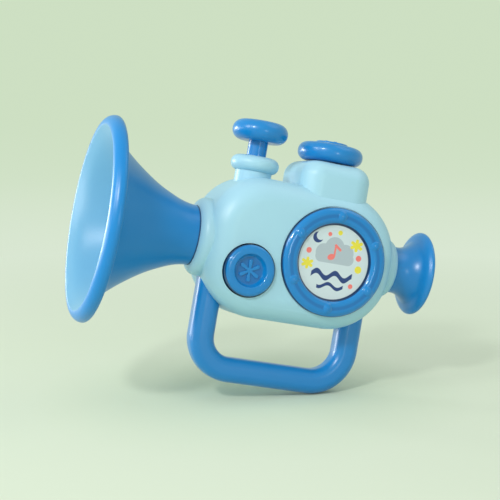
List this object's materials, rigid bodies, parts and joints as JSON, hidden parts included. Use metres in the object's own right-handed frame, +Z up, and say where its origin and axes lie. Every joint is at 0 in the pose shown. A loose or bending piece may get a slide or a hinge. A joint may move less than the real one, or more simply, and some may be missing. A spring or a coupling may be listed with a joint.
{
  "type": "toy trumpet",
  "caption": "Toy trumpet with a flared bell, blown mouthpiece, carrying handle, plunger valve, turning dial, push button and a ringed picture porthole.",
  "frame": {"origin": "bottom centre of the bounding box: mid length and mid depth of the toy, on the underside of its handle", "axes": "+X along the horn axis from the bell to the mouthpiece, +Y away from the side with the button and the porthole, +Z up from the handle to the valve and the dial"},
  "size_m": [0.202, 0.116, 0.1504],
  "materials": {
    "light_blue": "satin moulded plastic, light blue",
    "deep_blue": "satin moulded plastic, deep blue",
    "inner_plastic": "plain moulded plastic, off-white",
    "picture": "printed card under a smooth coating",
    "tube_rubber": "soft clear-grey tube",
    "reed_brass": "thin rolled sheet",
    "spring_steel": "drawn wire and strip",
    "screw_steel": "zinc plated"
  },
  "bodies": {
    "casing": {"front_shell": "light_blue", "rear_shell": "light_blue", "bell": "deep_blue", "mouthpiece": "deep_blue", "handle_front": "deep_blue", "handle_rear": "deep_blue", "chimney_ring": "light_blue", "valve_spring": "spring_steel", "valve_sleeve": "inner_plastic", "click_spring": "spring_steel", "button_spring": "spring_steel", "porthole_ring": "deep_blue", "picture_disc": "picture", "air_tube": "tube_rubber", "reed_holder": "inner_plastic", "reed_tongue": "reed_brass", "casing_screws": "screw_steel", "handle_screws": "screw_steel"},
    "valve": {"valve_cap": "deep_blue", "valve_stem": "deep_blue"},
    "dial": {"turret_knob": "deep_blue", "knob_spindle": "inner_plastic", "ratchet_wheel": "inner_plastic", "knob_screw": "screw_steel"},
    "button": {"button_cap": "deep_blue", "button_retainer": "inner_plastic"}
  },
  "joints": [
    {"name": "valve_slide", "type": "slide", "parent": "casing", "child": "valve", "axis": [0, 0, -1], "range_m": [0, 0.007], "stiffness_N_per_m": 200, "springref_m": -0.008, "deforming": ["valve_spring"]},
    {"name": "button_push", "type": "slide", "parent": "casing", "child": "button", "axis": [0, 1, 0], "range_m": [0, 0.0025], "stiffness_N_per_m": 400, "springref_m": -0.003, "deforming": ["button_spring"]},
    {"name": "dial_turn", "type": "hinge", "parent": "casing", "child": "dial", "pos_m": [0.0334, 0, 0.1345], "axis": [0, 0, 1], "continuous": true}
  ]
}
